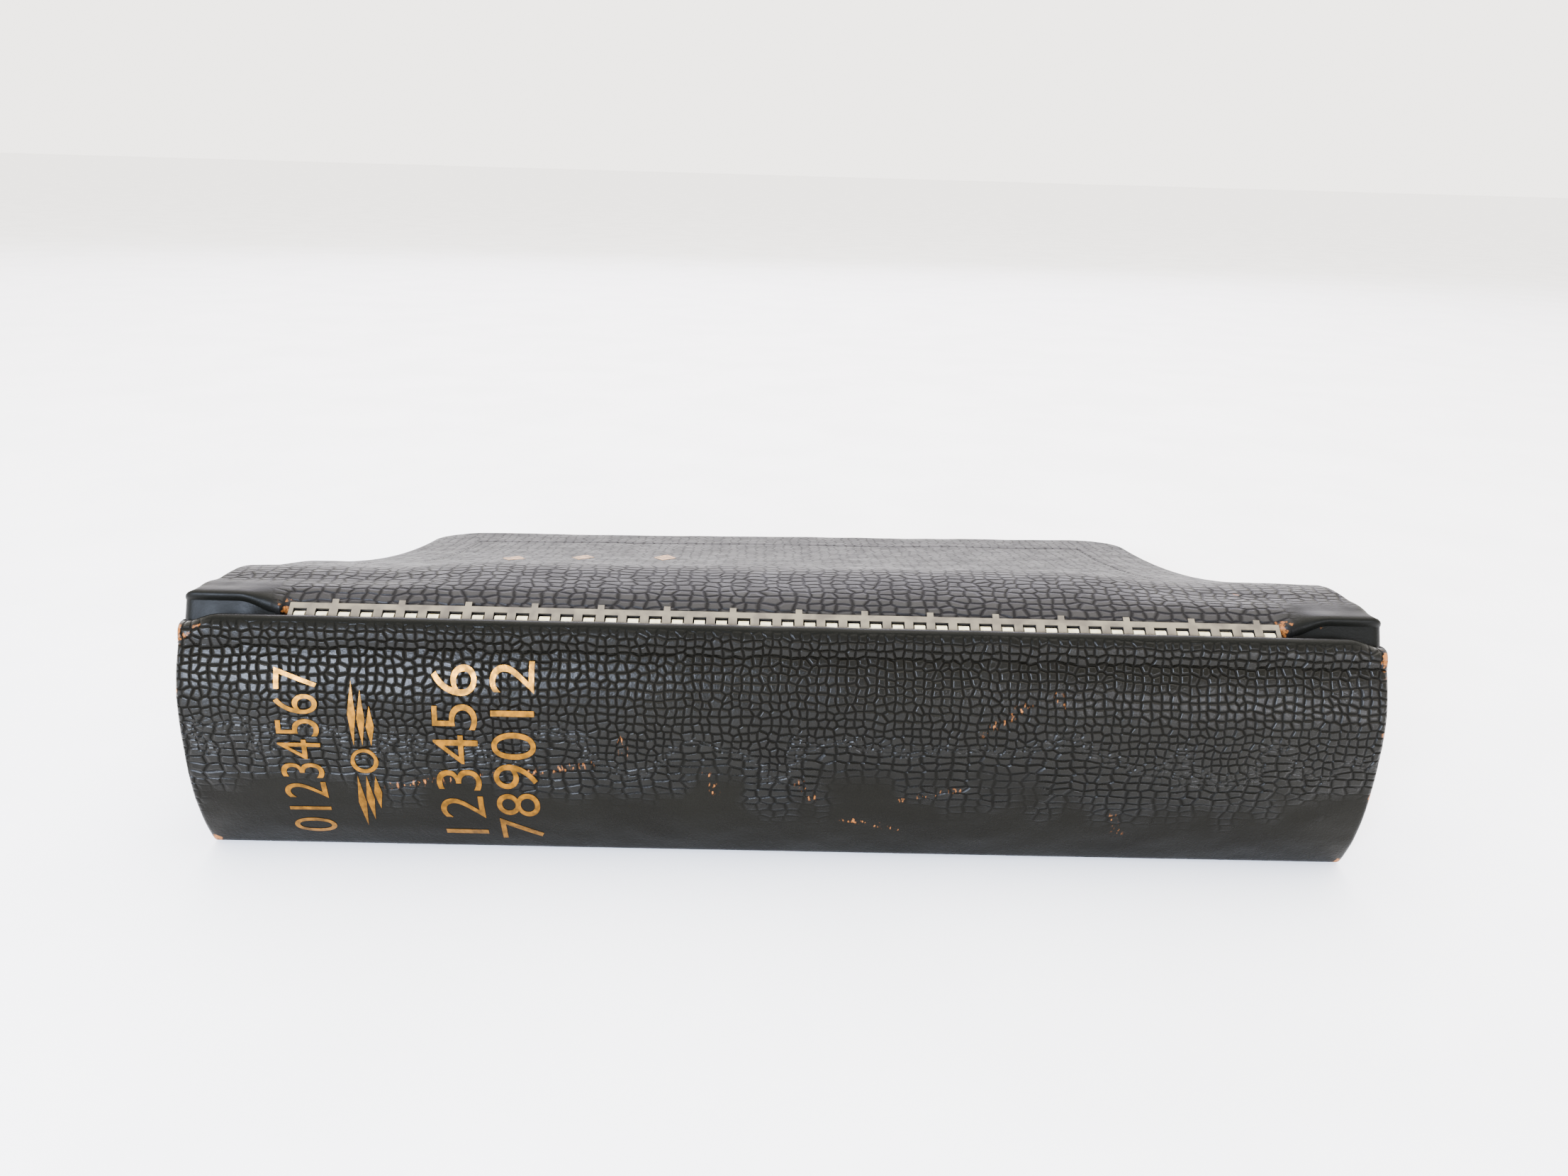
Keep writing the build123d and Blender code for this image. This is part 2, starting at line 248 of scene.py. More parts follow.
def leatherMaterial(name, grainFade, settings):
    # Goatskin with an embossed grain, dyed black and waxed: domed cells that glint, tight dull creases darkened
    # with painted shade, smooth dark leather where the grain was pressed flat, and tan fibres where the dye has
    # rubbed off
    mat, tree, shader = newMaterial(name)
    height = placeValue(tree, 2)
    pebbles = cells(tree, *settings["pebble"], settings["drag"], settings["upward"])
    wavelets = cells(tree, *settings["wavelet"], settings["drag"], settings["upward"])
    patches = grain(tree, settings["patch"], detail=2.0)
    drift = settings["patchDrift"]
    level = joinMath(tree, "ADD", height, rangeOf(tree, patches, 0.3, 0.7, -drift, drift))
    grown, toPebble = 1.0, 0.0              # wavelets all over, unless the grain fades out downwards
    if grainFade:
        low, high = grainFade
        grown = rangeOf(tree, level, low, high)
        toPebble = rangeOf(tree, level, high - 1, high + 7)
    plain = attribute(tree, "plain")
    grown = joinMath(tree, "MULTIPLY", joinMath(tree, "SUBTRACT", 1.0, plain), grown)
    embossed = addNode(tree, "ShaderNodeMix", {0: toPebble, 2: wavelets, 3: pebbles}, data_type="FLOAT").outputs[0]
    glint = settings["specular"]
    tops = rangeOf(tree, embossed, 0.4, 0.9, glint * settings["creaseShine"], glint)
    shine = addNode(tree, "ShaderNodeMix", {0: grown, 2: glint * settings["plainShine"], 3: tops},
                    data_type="FLOAT").outputs[0]
    embossed = joinMath(tree, "MULTIPLY", embossed, grown)
    poreSize, poreDepth = settings["pores"]
    softSize, softDepth = settings["soft"]
    pores = grain(tree, poreSize, detail=4.0)
    soft = grain(tree, softSize, detail=2.0)
    relief = joinMath(tree, "ADD", embossed, joinMath(tree, "MULTIPLY", pores, poreDepth))
    relief = joinMath(tree, "ADD", relief, joinMath(tree, "MULTIPLY", soft, softDepth))
    bump = addNode(tree, "ShaderNodeBump", {
        "Height": relief, "Strength": 1.0, "Distance": settings["depth"] * mm})
    base = mixColour(tree, grain(tree, 22), colour(settings["dark"]), colour(settings["light"]))
    base = mixColour(tree, plain, base, colour(settings["handled"]))
    # Painted shade: the creases between the cells are coloured darker, towards near black
    creaseShadeMask = joinMath(tree, "MULTIPLY", joinMath(tree, "SUBTRACT", 1.0, embossed), grown)
    creaseShadeAmount = joinMath(tree, "MULTIPLY", creaseShadeMask, settings["paintedCreaseShade"])
    base = mixColour(tree, creaseShadeAmount, base, colour(settings["creaseShadeColour"]))
    ragged = rangeOf(tree, grain(tree, 1.3, detail=6.0), 0.25, 0.75, -0.35, 0.35)
    rubbed = joinMath(tree, "ADD", attribute(tree, "wear"), ragged)
    rubbed = rangeOf(tree, rubbed, 0.42, 0.62)
    hairs = rangeOf(tree, grain(tree, 0.6, (1, 1, 0.35), 5.0, (0, 30, 0)), 0.57, 0.66)
    hairs = joinMath(tree, "MULTIPLY", hairs, rangeOf(tree, attribute(tree, "scratched"), 0.05, 0.6))
    rubbed = joinMath(tree, "MAXIMUM", rubbed, hairs)
    fibres = mixColour(tree, soft, colour(settings["worn"]), colour(settings["wornDark"]))
    base = mixColour(tree, rubbed, base, fibres)
    rough = rangeOf(tree, grain(tree, 6, detail=4.0), 0.3, 0.7, *settings["rough"])
    tree.links.new(base, shader.inputs["Base Color"])
    tree.links.new(rough, shader.inputs["Roughness"])
    tree.links.new(bump.outputs[0], shader.inputs["Normal"])
    shader.inputs["IOR"].default_value = 1.5
    tree.links.new(shine, shader.inputs["Specular IOR Level"])
    return mat


def plainMaterial(name, lightHex, darkHex, rough, metallic=0.0, size=6.0, stretch=(1, 1, 1), ior=1.5,
                  relief=0.02, reliefSize=0.6, turn=(0, 0, 0)):
    # Two close tones in soft patches with a fine surface, for the quieter parts
    mat, tree, shader = newMaterial(name)
    patch = rangeOf(tree, grain(tree, size, stretch, 5.0, turn), 0.3, 0.7)
    tone = mixColour(tree, patch, colour(lightHex), colour(darkHex))
    fine = grain(tree, reliefSize, stretch, 3.0, turn)
    bump = addNode(tree, "ShaderNodeBump", {"Height": fine, "Strength": 1.0, "Distance": relief * mm})
    roughness = rangeOf(tree, patch, 0, 1, rough * 0.85, min(rough * 1.2, 1.0))
    tree.links.new(tone, shader.inputs["Base Color"])
    tree.links.new(roughness, shader.inputs["Roughness"])
    tree.links.new(bump.outputs[0], shader.inputs["Normal"])
    shader.inputs["Metallic"].default_value = metallic
    if metallic < 0.5:
        shader.inputs["IOR"].default_value = ior
    return mat


# waxed and pebbled above, glinting like wet stones; smooth and olive black from 24 mm down to 13 mm
spineLeather = leatherMaterial("pebbledGoatskinWaxed", (13, 24), {
    **leatherLook, "rough": (0.24, 0.34), "specular": 0.095})
# the same skin with a long low grain, drier and greyer from handling
coverLeather = leatherMaterial("grainedGoatskinHandled", None, {
    **leatherLook, "dark": "11100f", "light": "191717", "upward": 1, "depth": 0.34, "rough": (0.38, 0.5),
    "specular": 0.11})
finishes = {
    # stoved beige enamel over pressed steel, matt and a little grimy, with painted shade in its slots added below
    "hinge_strip": plainMaterial("beigeEnamelAgedSlotShade", "564d3a", "3b3326", 0.6, size=3.5, relief=0.03),
    # the same enamel kept clean and cream where the cover's strip hides it
    "hinge_tabs": plainMaterial("creamEnamelGlossy", "cfc5a4", "b0a47c", 0.4, size=2.0),
    # drawn steel: mid grey, streaked along its length
    "hinge_wire": plainMaterial("drawnSteelWire", "a5a19a", "6f6b64", 0.32, 1.0, 4.0, (0.05, 1, 1)),
    # black japanned steel: deep gloss with faint orange peel
    "back_steel": plainMaterial("blackJapannedSteel", "141414", "1f1e1c", 0.3, 0.0, 12.0),
    # nickel plate over brushed steel: bright, with streaks along the spine
    "mechanism_steel": plainMaterial("nickelPlateBrushed", "c9c5bc", "a19c92", 0.28, 1.0, 5.0, (0.06, 1, 1)),
    # polished nickel wire: near mirror
    "ring_wire": plainMaterial("polishedNickelWire", "d8d5ce", "b6b2a9", 0.14, 1.0, 3.0),
    # greyboard, pressed pulp: dry, warm and slightly furry at the edges
    "board": plainMaterial("greyboardPressed", "a08b6b", "7d6b50", 0.9, 0.0, 1.5, relief=0.08),
    # thin skiver lining, split leather rolled smooth and dyed
    "lining": plainMaterial("skiverLiningSmooth", "1b1916", "121112", 0.6, 0.0, 9.0, ior=1.3,
                            relief=0.05, reliefSize=0.4),
    # bond paper cut in a stack: pale cream with the fine lines of the sheets' edges
    "paper": plainMaterial("bondPaperStack", "e9e1cb", "c9bd9f", 0.85, 0.0, 0.35, (0.02, 0.02, 1),
                           relief=0.06, reliefSize=0.25, turn=(7.56, 0, 0)),
    # manila card: warm buff, mottled by its fibres
    "divider_card": plainMaterial("manilaCard", "d9b577", "bd9556", 0.8, 0.0, 2.5, relief=0.03),
    # moulded polystyrene with a matt die finish: even black
    "lifter_plastic": plainMaterial("mattBlackPolystyrene", "191919", "242423", 0.5, 0.0, 4.0, ior=1.59),
    "spine_leather": spineLeather,
    "cover_leather": coverLeather,
}


def paintedSlotShade(mat, axis, hexCode):
    # Painted shade: slot walls and the faces turned down the strip's slope are coloured near black, standing in
    # for the shadow in every slot
    tree, shader = mat.node_tree, mat.node_tree.nodes["Principled BSDF"]
    facing = addNode(tree, "ShaderNodeNewGeometry").outputs["Normal"]
    sideways = joinMath(tree, "ABSOLUTE", addNode(tree, "ShaderNodeSeparateXYZ", {0: facing}).outputs[0])
    downSlope = addNode(tree, "ShaderNodeVectorMath", {0: facing, 1: axis},
                        operation="DOT_PRODUCT").outputs["Value"]
    slotShadeMask = rangeOf(tree, joinMath(tree, "MAXIMUM", sideways, downSlope), 0.6, 0.8)
    painted = shader.inputs["Base Color"].links[0].from_socket
    tree.links.new(mixColour(tree, slotShadeMask, painted, colour(hexCode)), shader.inputs["Base Color"])


stripDownSlope = (0.0, -0.788, -0.616)  # the closed strip lies on the roll, 38 degrees up
# painted shade: the hinge strip's slot walls are coloured near black
paintedSlotShade(finishes["hinge_strip"], stripDownSlope, "0d0b08")
for row in frame["record"]["subparts"]:
    obj = nodes[row["node"]]
    obj.data.materials.clear()
    obj.data.materials.append(finishes[row["material_slot"]])
print("materials made:", len(finishes))


spine = {
    "bow": 6.4, "fullest": 0.56, "curve": 2.4,      # how far, how high up and how square it bows out
    "rimRadius": 2.5, "rimWall": 1.0, "endRound": 1.1, "footRound": 0.8,
    "metalReach": 2.25, "metalFlat": 5.8, "waver": 0.22, "thick": 1.6,
    "faceRows": 78, "rimRows": 9, "columns": 270,
    "worn": [(-120.5, -6, 48.5, 3.4), (-120.5, -8, 28, 2.6), (-120, -4, 1, 3.2), (120.5, -6, 48, 3.6),
             (120.5, -9, 34, 1.8), (119.5, -4, 1.5, 2.0), (-120.5, -8.5, 38, 1.6), (120.5, -9.5, 20, 1.6)],
    "scratches": [((-80, 18), (-39, 24), 1.0), ((-33, 30), (-32, 26), 0.9), ((-16, 23), (-14, 18), 1.0),
                  ((3, 21), (6, 17), 1.0), ((40, 33), (48, 39), 1.2), ((54, 41), (55, 38), 1.0),
                  ((68, 14), (70, 9), 1.2), ((12, 12), (24, 9), 0.8), ((24, 17), (36, 20), 0.7)],
}
spineLow, spineHigh = boxMm("spine_leather")
spineHalf = spineHigh[0]
footZ, rimZ = spineLow[2], spineHigh[2]
rimInner = spineHigh[1] - pinY
metalFoot, metalTop = boxMm("metal_back")[0][2], boxMm("metal_back")[1][2]
leatherReach = spine["metalReach"] + spine["thick"]


def spineFace(z):
    # Distance of the outer face from the pins, growing away from them
    t = (z - footZ) / (rimZ - footZ)
    peak = spine["fullest"]
    side = (peak - t) / peak if t < peak else (t - peak) / (1 - peak)
    return leatherReach + spine["bow"] * (1 - clamp(abs(side)) ** spine["curve"])


def metalFace(z):
    # The bowed metal back behind the leather, a flat beside each hinge and an arc between
    low, high = 2.3 + spine["metalFlat"], topPinZ - spine["metalFlat"]
    half = (high - low) / 2
    if abs(z - (low + high) / 2) >= half:
        return spine["metalReach"]
    radius = (half ** 2 + spine["bow"] ** 2) / (2 * spine["bow"])
    return spine["metalReach"] + spine["bow"] - radius + math.sqrt(radius ** 2 - (z - (low + high) / 2) ** 2)


def spineRows():
    # (outer reach, outer z, inner reach, inner z) from the foot up and over the rim
    rows = []
    r = spine["footRound"]
    for d in roundedSteps(r, 3)[:-1]:
        rows.append((spineFace(footZ + d) - edgeDrop(d, r), footZ + d, metalFace(footZ), footZ + d))
    bend = spine["rimRadius"]
    for z in steps(footZ + r, rimZ - bend, spine["faceRows"]):
        rows.append((spineFace(z), z, metalFace(z), z))
    centre = spineFace(rimZ - bend) - bend
    for a in steps(0, 90, spine["rimRows"])[1:]:
        c, s = math.cos(math.radians(a)), math.sin(math.radians(a))
        rows.append((centre + bend * c, rimZ - bend + bend * s,
                     spine["metalReach"], min(rimZ - bend + bend * s, metalTop)))
    for t in (0.5, 0.9, 1.0):
        reach = centre + (-rimInner - centre) * t
        rows.append((reach, rimZ - (0.25 if t == 1.0 else 0.0), min(spine["metalReach"], reach), metalTop))
    return rows


spineTable = spineRows()


def spineWaver(x, z):
    # Slow unevenness of hand-covered leather, none at the rim where the cover's strip runs
    calm = smooth(footZ, footZ + 6, z) * smooth(rimZ, rimZ - 9, z)
    return spine["waver"] * calm * (ripple(x, z, 17) + 0.6 * ripple(x, z * 1.6, 7, 4.0))


def spineOuter(x, row):
    reach, z = spineTable[row][0], spineTable[row][1]
    reach += spineWaver(x, z) - edgeDrop(spineHalf - abs(x), spine["endRound"])
    return x, pinY - reach, z


def spineInner(x, row):
    return x, pinY - spineTable[row][2], spineTable[row][3]


endSteps = [spineHalf - d for d in roundedSteps(spine["endRound"], 4)]
spineColumns = ([-x for x in endSteps[:-1]] + steps(-endSteps[-1], endSteps[-1], spine["columns"])
                + endSteps[-2::-1])
spineSkin = makeSlab("spineSkin", spineColumns, list(range(len(spineTable))), spineOuter, spineInner)
paint(spineSkin, "wear", nearPlaces(spine["worn"]))


def nearLines(lines):
    def strength(point):
        best = 0.0
        for (x0, z0), (x1, z1), reach in lines:
            along = clamp(((point.x - x0) * (x1 - x0) + (point.z - z0) * (z1 - z0))
                          / max((x1 - x0) ** 2 + (z1 - z0) ** 2, 0.01))
            away = math.hypot(point.x - x0 - along * (x1 - x0), point.z - z0 - along * (z1 - z0))
            best = max(best, 1 - away / reach)
        return best
    return strength


paint(spineSkin, "scratched", nearLines(spine["scratches"]))
spineSkin.data.materials.append(spineLeather)
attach(spineSkin, "spine")
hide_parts("spine_leather")

rimRoll = {
    "foot": 46.6, "top": 52.3, "endTop": 50.2, "endFade": 8.0, "peakReach": 3.4, "backZ": 49.6,
    "proud": 0.05, "square": 0.8, "drift": 0.12, "driftSize": 11, "sunk": 0.5,
    "frontSteps": 7, "backSteps": 5, "pressed": 0.35,
    "worn": [(-120.5, -5, 49, 3.6), (120.5, -5, 49, 3.8), (-116, -4.5, 50, 1.2)], "plain": (50.2, 51.8),
}
rollSteps = rimRoll["frontSteps"] + rimRoll["backSteps"]


def rollOuter(x, step):
    # Over the top of the turned leather edge, front to back
    top = rimRoll["top"] - (rimRoll["top"] - rimRoll["endTop"]) * smooth(
        spineHalf - rimRoll["endFade"], spineHalf, abs(x)) + rimRoll["drift"] * ripple(x, 0, rimRoll["driftSize"])
    front, peak = spineFace(rimRoll["foot"]) + rimRoll["proud"], rimRoll["peakReach"]
    if step <= rimRoll["frontSteps"]:
        a = math.pi / 2 * step / rimRoll["frontSteps"]
        reach = peak + (front - peak) * math.cos(a) ** rimRoll["square"]
        z = rimRoll["foot"] + (top - rimRoll["foot"]) * math.sin(a)
    else:
        a = math.pi / 2 * (step - rimRoll["frontSteps"]) / rimRoll["backSteps"]
        reach = peak - (peak + rimInner) * math.sin(a)
        z = rimRoll["backZ"] + (top - rimRoll["backZ"]) * math.cos(a)
    return x, pinY - reach + edgeDrop(spineHalf - abs(x), spine["endRound"]), z


def rollInner(x, step):
    front = spineFace(rimRoll["foot"]) - rimRoll["sunk"]
    t = step / rollSteps
    return x, pinY - front + (front + rimInner) * t, rimRoll["foot"] + (rimRoll["backZ"] - rimRoll["foot"]) * t


spineRoll = makeSlab("spineRimRoll", spineColumns, list(range(rollSteps + 1)), rollOuter, rollInner)
paint(spineRoll, "wear", nearPlaces(rimRoll["worn"]))
paint(spineRoll, "plain", lambda point: smooth(*rimRoll["plain"], point.z))
spineRoll.data.materials.append(spineLeather)
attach(spineRoll, "spine")
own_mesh(spineRoll)
print("spine leather:", len(spineSkin.data.polygons), "faces")


cover = {
    "rise": 38.0, "roll": 28.0, "fall": 24.0,       # the soft roll beside the front hinge
    "strip": 0.65, "depth": 178.0, "edge": 1.3,
    "thick": 3.65, "boardTop": 3.2, "liningEdge": 7.0,
    "corner": 14.0, "nearCorner": 2.2, "shoulderFall": 0.4, "fallWidth": 24.0, "fallFade": (2, 20),
    # past the ends of the strip the leather is fuller, hangs over and is folded down to the spine's rim
    "stripEnd": (100.5, 102.0), "overhang": 1.7, "overFade": (3, 11), "wallFoot": 48.5, "foldFade": (5, 9),
    "endFull": 5.0, "endRise": (101, 110), "endDepth": 7.0, "endEdge": 3.4, "endEdgeRise": (101, 106),
    "endEdgeFade": (4, 12), "flare": 1.9, "flareWidth": 14.0, "flareFade": (3, 20),
    "hinge": (24, 62), "settled": (2.9, 2.1), "settle": (5, 14), "raised": 1.9, "middle": (-92, -60, 58, 96),
    "sideBlend": 60, "twist": 3.0, "twistFrom": 55,
    "border": 17.0, "groove": 0.4, "grooveWidth": 0.55, "waver": 0.28,
    "worn": [(-118, 4, 48, 3.5), (119, 4, 46, 5.0), (117, 10, 49, 4.0), (108, 3, 52, 2.6), (101.5, 2, 52, 3.2),
             (-101.5, 2, 52, 2.4), (96, 14, 56, 1.8)],
}
coverHalf = boxMm("front_cover_leather")[1][0]
coverNear = boxMm("front_cover_leather")[0][1] - pinY
foreTop = 14.0
rollDrop = cover["roll"] - cover["strip"]
rollY = rollDrop * math.sin(math.radians(cover["rise"]))
rollZ = topPinZ - rollDrop * math.cos(math.radians(cover["rise"]))
sagStartY = rollY + cover["roll"] * math.sin(math.radians(cover["fall"]))
sagStartZ = rollZ + cover["roll"] * math.cos(math.radians(cover["fall"]))
sagRun, sagDrop = cover["depth"] - sagStartY, sagStartZ - foreTop
sagHalfTurn = math.radians(cover["fall"]) - math.atan2(sagDrop, sagRun)
sagRadius = math.hypot(sagRun, sagDrop) / (2 * math.sin(sagHalfTurn))
sagY = sagStartY + sagRadius * math.sin(math.radians(cover["fall"]))
sagZ = sagStartZ + sagRadius * math.cos(math.radians(cover["fall"]))


def coverTop(y):
    # Height and slope of the closed cover's outer face, y counted from the pins
    if y < sagStartY:
        run = y - rollY
        root = math.sqrt(cover["roll"] ** 2 - run ** 2)
        return rollZ + root, -run / root
    run = y - sagY
    root = math.sqrt(sagRadius ** 2 - run ** 2)
    return sagZ - root, run / root


def roundCorner(x, y, half, near, far, radius, nearRadius):
    # Pulls a rectangle's square corners round; also gives the distance to the outline
    if y - near < far - y:
        radius = nearRadius
    inX, inY = half - radius, min(y - near, far - y)
    if abs(x) > inX and inY < radius:
        a, b = (abs(x) - inX) / radius, 1 - inY / radius
        px, py = a * math.sqrt(1 - b * b / 2), b * math.sqrt(1 - a * a / 2)
        x = math.copysign(inX + px * radius, x)
        y = near + radius - py * radius if y - near < far - y else far - radius + py * radius
        return x, y, radius * (1 - math.hypot(px, py))
    return x, y, min(half - abs(x), inY)


def coverLift(x, y):
    # What age did to the shape: ends of the roll sunk, its middle raised, the fore-edge twisted
    nearHinge = 1 - smooth(*cover["hinge"], y)
    lift = 0.0
    if x < 0:
        sink = clamp((abs(x) - coverHalf + cover["fallWidth"]) / cover["fallWidth"])
        lift = -cover["shoulderFall"] * sink ** 1.6 * nearHinge * smooth(*cover["fallFade"], y)
    lift += cover["endFull"] * smooth(*cover["endRise"], abs(x)) * (1 - clamp(y / cover["endDepth"])) ** 1.5
    left, right = cover["settled"]
    blend = smooth(-cover["sideBlend"], cover["sideBlend"], x)
    lift -= (left + (right - left) * blend) * smooth(*cover["settle"], y) * nearHinge
    middleRise = smooth(*cover["middle"][:2], x) * (1 - smooth(*cover["middle"][2:], x))
    lift += cover["raised"] * middleRise * smooth(*cover["settle"], y) * nearHinge
    lift += cover["twist"] * (x / (2 * coverHalf)) * smooth(cover["twistFrom"], cover["depth"], y)
    away = smooth(7, 16, y) * smooth(coverHalf, coverHalf - 8, abs(x))
    return lift + cover["waver"] * away * (ripple(x, y, 24, 2.0) + 0.5 * ripple(x, y * 1.5, 9, 6.0))


def grooveDepth(x, y):
    # A line pressed into the leather inside the outline
    inset = min(coverHalf - abs(x), cover["depth"] - y, y - 30) - cover["border"]
    return cover["groove"] * math.exp(-(inset / cover["grooveWidth"]) ** 2)


def coverSheet(half, near, far, corner, nearCorner, top, bottom, edge, grooved):
    # Outer and inner face of one layer of the front cover, at two depths below its outer face
    def at(x, y, deep):
        x, y, inset = roundCorner(x, y, half, near, far, corner, nearCorner)
        atEnd = smooth(*cover["endEdgeRise"], abs(x)) * (1 - smooth(*cover["endEdgeFade"], y)) if grooved else 0.0
        rounding = edgeDrop(inset, edge + (0.0 if deep else (cover["endEdge"] - edge) * atEnd))
        depth = bottom - rounding if deep else top + rounding + (grooveDepth(x, y) if grooved else 0.0)
        z, slope = coverTop(y)
        lean = math.hypot(1, slope)
        if not grooved:
            return x, pinY + y + depth * slope / lean, z - depth / lean + coverLift(x, y)
        pastStrip = smooth(*cover["stripEnd"], abs(x))
        over = cover["overhang"] * (pastStrip * (1 - smooth(*cover["overFade"], y)))
        newY, newZ = pinY + y - over + depth * slope / lean, z - depth / lean + coverLift(x, y)
        if deep:                        # beyond the strip the leather is folded down to the spine's rim
            fold = pastStrip * (1 - smooth(*cover["foldFade"], y))
            newY += (pinY + y - over - newY) * fold
            newZ += (cover["wallFoot"] + 0.3 * rounding - newZ) * fold
        flare = cover["flare"] * smooth(coverHalf - cover["flareWidth"], coverHalf, abs(x)) * (
            1 - smooth(*cover["flareFade"], y))
        return x + math.copysign(flare, x), newY, newZ
    return (lambda x, y: at(x, y, False)), (lambda x, y: at(x, y, True))


def edged(low, high, edge, inside):
    # Places across a layer, close together in its rounded edges
    rounds = roundedSteps(edge, 4)
    return [low + d for d in rounds[:-1]] + inside + [high - d for d in rounds[-2::-1]]


grooveX, grooveY = coverHalf - cover["border"], cover["depth"] - cover["border"]
columns = (steps(-coverHalf + cover["edge"], -grooveX - 1.2, 17) + steps(-grooveX - 0.8, -grooveX + 0.8, 5)
           + steps(-grooveX + 1.6, grooveX - 1.6, 205)
           + steps(grooveX - 0.8, grooveX + 0.8, 5) + steps(grooveX + 1.2, coverHalf - cover["edge"], 17))
rows = (steps(coverNear + cover["edge"], 34, 52) + steps(35.5, grooveY - 1.4, 60)
        + steps(grooveY - 0.8, grooveY + 0.8, 5) + steps(grooveY + 1.6, cover["depth"] - cover["edge"], 10))
outer, inner = coverSheet(coverHalf, coverNear, cover["depth"], cover["corner"], cover["nearCorner"],
                          0.0, cover["thick"], cover["edge"], True)
frontSkin = makeSlab("frontCoverSkin", edged(-coverHalf, coverHalf, cover["edge"], columns),
                     edged(coverNear, cover["depth"], cover["edge"], rows), outer, inner)
paint(frontSkin, "wear", nearPlaces(cover["worn"]))


def plainHere(point):
    # Leather left without grain at the ends of the roll
    y = point.y - pinY
    return smooth(98, 105, abs(point.x) - 0.2 * y) * (1 - smooth(7, 14, y))


paint(frontSkin, "plain", plainHere)
frontSkin.data.materials.append(coverLeather)
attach(frontSkin, "front_cover")
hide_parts("front_cover_leather", "front_cover_board")

margin = cover["liningEdge"]
liningRound, liningInset, liningFoot = 0.25, 0.6, 3.8
liningHalf, liningFar = coverHalf - margin, cover["depth"] - margin
outer, inner = coverSheet(liningHalf, margin, liningFar, cover["corner"] - margin, cover["corner"] - margin,
                          cover["boardTop"], liningFoot, liningRound, False)
frontLining = makeSlab(
    "frontCoverLining",
    edged(-liningHalf, liningHalf, liningRound,
          steps(margin + liningInset - coverHalf, liningHalf - liningInset, 90)),
    edged(margin, liningFar, liningRound, steps(margin + liningInset, liningFar - liningInset, 80)), outer, inner)
frontLining.data.materials.append(finishes["lining"])
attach(frontLining, "front_cover")
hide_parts("front_cover_lining")

backNear = boxMm("back_cover_leather")[0][1] - pinY
seatReach, seatTop, footRound = 5.2, 1.65, 0.9     # room for the back strip under the near edge


def backAt(x, y, deep):
    x, y, inset = roundCorner(x, y, coverHalf, backNear, cover["depth"], cover["corner"], cover["nearCorner"])
    drop = edgeDrop(inset, cover["edge"])
    foot = seatTop if y < seatReach else 0.0
    z = foot + min(drop, footRound) if deep else cover["thick"] - drop
    return x, pinY + y, z


backRows = edged(backNear, cover["depth"], cover["edge"],
                 steps(backNear + 1.5, seatReach - 0.1, 4)
                 + steps(seatReach + 0.1, cover["depth"] - cover["edge"], 110))
backSkin = makeSlab("backCoverSkin", edged(-coverHalf, coverHalf, cover["edge"],
                                           steps(cover["edge"] - coverHalf, coverHalf - cover["edge"], 130)),
                    backRows, lambda x, y: backAt(x, y, False), lambda x, y: backAt(x, y, True))
paint(backSkin, "wear", nearPlaces([(-119, 176, 2, 4), (119, 176, 2, 4), (119, 60, 2, 1.5)]))
backSkin.data.materials.append(coverLeather)
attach(backSkin, "back_cover")
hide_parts("back_cover_leather")
print("covers:", len(frontSkin.data.polygons), "and", len(backSkin.data.polygons), "faces")


gold = {
    "hex": ("7d5000", "4a2f00"), "stand": 0.10, "slice": 1.3,
    "lines": [("01234567", -101.2, -92.6, 5.0, 43.0), ("123456", -70.2, -61.2, 5.2, 44.2),
              ("789012", -58.6, -49.8, 4.0, 45.0)],
    "ornament": (-84.2, 24.0), "ornamentSize": (5.6, 35.0),
    "coverMarks": [(-81.6, 117.0), (-61.4, 122.0), (-36.6, 127.6)], "markSize": (7.0, 15.0),
}
# foil pressed in hot: warm yellow metal, slightly broken by the grain
goldFoil = plainMaterial("goldFoilHotStamped", *gold["hex"], 0.36, 0.85, 1.6, relief=0.03, reliefSize=0.5)
# the same foil rubbed through to the leather
wornFoil = plainMaterial("goldFoilRubbed", "a0702a", "3a2a18", 0.5, 0.5, 1.2, relief=0.03, reliefSize=0.5)


def sliceAcross(obj, low, high):
    # Cuts flat work into level strips, so that it can bend
    pickOnly(obj)
    bpy.ops.object.mode_set(mode="EDIT")
    place = low + gold["slice"]
    while place < high:
        bpy.ops.mesh.select_all(action="SELECT")
        bpy.ops.mesh.bisect(plane_co=(0.0, 0.0, place * mm), plane_no=(0.0, 0.0, 1.0))
        place += gold["slice"]
    bpy.ops.object.mode_set(mode="OBJECT")


def layOnSpine(obj):
    # Wraps flat work (x across, z up, y its thickness) onto the spine's face
    for vert in obj.data.vertices:
        x, lift, z = vert.co / mm
        vert.co = Vector((x, pinY - spineFace(z) - spineWaver(x, z) - gold["stand"] * lift, z)) * mm


def layOnCover(obj):
    for vert in obj.data.vertices:
        x, y, lift = vert.co / mm
        z, slope = coverTop(y)
        vert.co = Vector((x, pinY + y, z + coverLift(x, y) + gold["stand"] * lift)) * mm


def finishFoil(obj, body, material):
    finishMesh(obj, 30)
    obj.data.materials.clear()
    obj.data.materials.append(material)
    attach(obj, body)


